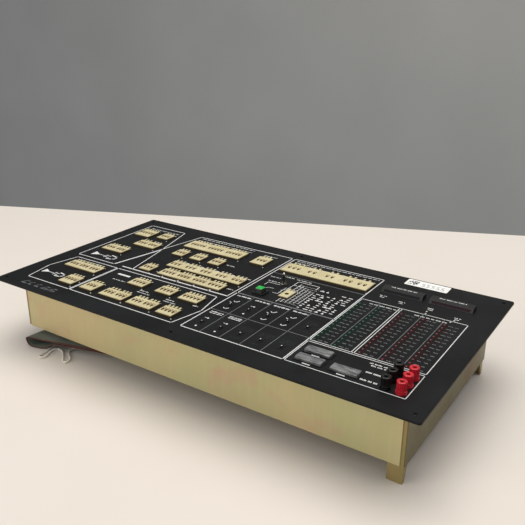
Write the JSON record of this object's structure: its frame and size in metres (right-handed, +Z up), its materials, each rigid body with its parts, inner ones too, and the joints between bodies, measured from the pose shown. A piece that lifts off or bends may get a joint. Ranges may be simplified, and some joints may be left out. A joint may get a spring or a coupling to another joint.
{
  "type": "electronics trainer console",
  "caption": "Bench training console: black patch panel with spring terminals, lamps, displays, keys and binding posts on a shallow zinc-plated sheet-steel case.",
  "frame": {"origin": "on the bench, under the middle of the panel", "axes": "+X to the right along the panel, +Y to the back, +Z up"},
  "size_m": [0.7, 0.3695, 0.1332],
  "materials": {
    "black_panel": "matt black lacquer with a fine texture",
    "zinc_sheet": "yellow-passivated zinc plating, satin",
    "bright_steel": "bright plated",
    "circuit_board": "green solder mask",
    "black_plastic": "moulded, fine grain",
    "black_rubber": "moulded rubber",
    "ribbon_grey": "ribbed flat cable insulation",
    "white_insulation": "soft insulation",
    "white_nylon": "moulded nylon",
    "cream_plastic": "moulded, light satin",
    "smoked_window": "polished tinted acrylic",
    "green_plastic": "moulded, satin gloss",
    "grey_key_plastic": "moulded translucent grey",
    "green_lens": "clear tinted epoxy",
    "red_lens": "clear tinted epoxy",
    "red_plastic": "moulded, semi gloss",
    "nickel_brass": "nickel-plated brass"
  },
  "bodies": {
    "root": {"base_plate": "zinc_sheet", "board_connectors": "black_plastic", "case_front": "zinc_sheet", "case_left": "zinc_sheet", "case_rear": "zinc_sheet", "case_right": "zinc_sheet", "contact_springs": "bright_steel", "corner_leg_front_right": "zinc_sheet", "corner_leg_rear_left": "zinc_sheet", "corner_leg_rear_right": "zinc_sheet", "corner_post_front_left": "zinc_sheet", "display_bezels": "black_plastic", "display_modules": "black_plastic", "display_windows": "smoked_window", "fasteners": "bright_steel", "front_panel": "black_panel", "green_lamps": "green_lens", "interface_board": "circuit_board", "key_frames": "black_plastic", "lead_grommet": "black_rubber", "lead_plug": "white_nylon", "leg_left_side": "zinc_sheet", "main_board": "circuit_board", "post_collars_black": "black_plastic", "post_collars_red": "red_plastic", "post_cores_and_nuts": "nickel_brass", "red_lamps": "red_lens", "ribbon_cable": "ribbon_grey", "slide_switch_bodies": "black_plastic", "spacers": "bright_steel", "start_button_housing": "black_plastic", "terminals_left_front": "cream_plastic", "terminals_left_rear": "cream_plastic", "terminals_middle_front": "cream_plastic", "terminals_middle_rear": "cream_plastic", "terminals_right_rear": "cream_plastic", "toggle_body_and_nut": "bright_steel", "white_lead": "white_insulation"},
    "toggle": {"toggle_lever": "bright_steel"},
    "start_button": {"start_button_cap": "green_plastic"},
    "key_upper": {"key_upper_cap": "grey_key_plastic"},
    "key_lower": {"key_lower_cap": "grey_key_plastic"},
    "key_right": {"key_right_cap": "grey_key_plastic"},
    "slider_1_1": {"slider_1_1": "black_plastic"},
    "slider_1_2": {"slider_1_2": "black_plastic"},
    "slider_1_3": {"slider_1_3": "black_plastic"},
    "slider_1_4": {"slider_1_4": "black_plastic"},
    "slider_1_5": {"slider_1_5": "black_plastic"},
    "slider_2_1": {"slider_2_1": "black_plastic"},
    "slider_2_2": {"slider_2_2": "black_plastic"},
    "slider_2_3": {"slider_2_3": "black_plastic"},
    "slider_2_4": {"slider_2_4": "black_plastic"},
    "slider_2_5": {"slider_2_5": "black_plastic"},
    "post_cap_red_1": {"post_cap_red_1": "red_plastic"},
    "post_cap_red_2": {"post_cap_red_2": "red_plastic"},
    "post_cap_red_3": {"post_cap_red_3": "red_plastic"},
    "post_cap_black_1": {"post_cap_black_1": "black_plastic"},
    "post_cap_black_2": {"post_cap_black_2": "black_plastic"},
    "post_cap_black_3": {"post_cap_black_3": "black_plastic"}
  },
  "joints": [
    {"name": "toggle_tilt", "type": "hinge", "parent": "root", "child": "toggle", "pos_m": [0.04, 0.047, 0.114], "axis": [1, 0, 0], "range_deg": [-12, 12]},
    {"name": "start_button_press", "type": "slide", "parent": "root", "child": "start_button", "axis": [0, 0, -1], "range_m": [0, 0.0025], "stiffness_N_per_m": 600, "springref_m": -0.0015},
    {"name": "key_upper_press", "type": "slide", "parent": "root", "child": "key_upper", "axis": [0, 0, -1], "range_m": [0, 0.0015], "stiffness_N_per_m": 600, "springref_m": -0.0015},
    {"name": "key_lower_press", "type": "slide", "parent": "root", "child": "key_lower", "axis": [0, 0, -1], "range_m": [0, 0.0015], "stiffness_N_per_m": 600, "springref_m": -0.0015},
    {"name": "key_right_press", "type": "slide", "parent": "root", "child": "key_right", "axis": [0, 0, -1], "range_m": [0, 0.0015], "stiffness_N_per_m": 600, "springref_m": -0.0015},
    {"name": "slider_1_1_slide", "type": "slide", "parent": "root", "child": "slider_1_1", "axis": [0, 1, 0], "range_m": [-0.002, 0.002]},
    {"name": "slider_1_2_slide", "type": "slide", "parent": "root", "child": "slider_1_2", "axis": [0, 1, 0], "range_m": [-0.002, 0.002]},
    {"name": "slider_1_3_slide", "type": "slide", "parent": "root", "child": "slider_1_3", "axis": [0, 1, 0], "range_m": [-0.002, 0.002]},
    {"name": "slider_1_4_slide", "type": "slide", "parent": "root", "child": "slider_1_4", "axis": [0, 1, 0], "range_m": [-0.002, 0.002]},
    {"name": "slider_1_5_slide", "type": "slide", "parent": "root", "child": "slider_1_5", "axis": [0, 1, 0], "range_m": [-0.002, 0.002]},
    {"name": "slider_2_1_slide", "type": "slide", "parent": "root", "child": "slider_2_1", "axis": [0, 1, 0], "range_m": [-0.002, 0.002]},
    {"name": "slider_2_2_slide", "type": "slide", "parent": "root", "child": "slider_2_2", "axis": [0, 1, 0], "range_m": [-0.002, 0.002]},
    {"name": "slider_2_3_slide", "type": "slide", "parent": "root", "child": "slider_2_3", "axis": [0, 1, 0], "range_m": [-0.002, 0.002]},
    {"name": "slider_2_4_slide", "type": "slide", "parent": "root", "child": "slider_2_4", "axis": [0, 1, 0], "range_m": [-0.002, 0.002]},
    {"name": "slider_2_5_slide", "type": "slide", "parent": "root", "child": "slider_2_5", "axis": [0, 1, 0], "range_m": [-0.002, 0.002]},
    {"name": "post_cap_red_1_unscrew", "type": "slide", "parent": "root", "child": "post_cap_red_1", "axis": [0, 0, 1], "range_m": [0, 0.004]},
    {"name": "post_cap_red_2_unscrew", "type": "slide", "parent": "root", "child": "post_cap_red_2", "axis": [0, 0, 1], "range_m": [0, 0.004]},
    {"name": "post_cap_red_3_unscrew", "type": "slide", "parent": "root", "child": "post_cap_red_3", "axis": [0, 0, 1], "range_m": [0, 0.004]},
    {"name": "post_cap_black_1_unscrew", "type": "slide", "parent": "root", "child": "post_cap_black_1", "axis": [0, 0, 1], "range_m": [0, 0.004]},
    {"name": "post_cap_black_2_unscrew", "type": "slide", "parent": "root", "child": "post_cap_black_2", "axis": [0, 0, 1], "range_m": [0, 0.004]},
    {"name": "post_cap_black_3_unscrew", "type": "slide", "parent": "root", "child": "post_cap_black_3", "axis": [0, 0, 1], "range_m": [0, 0.004]}
  ]
}
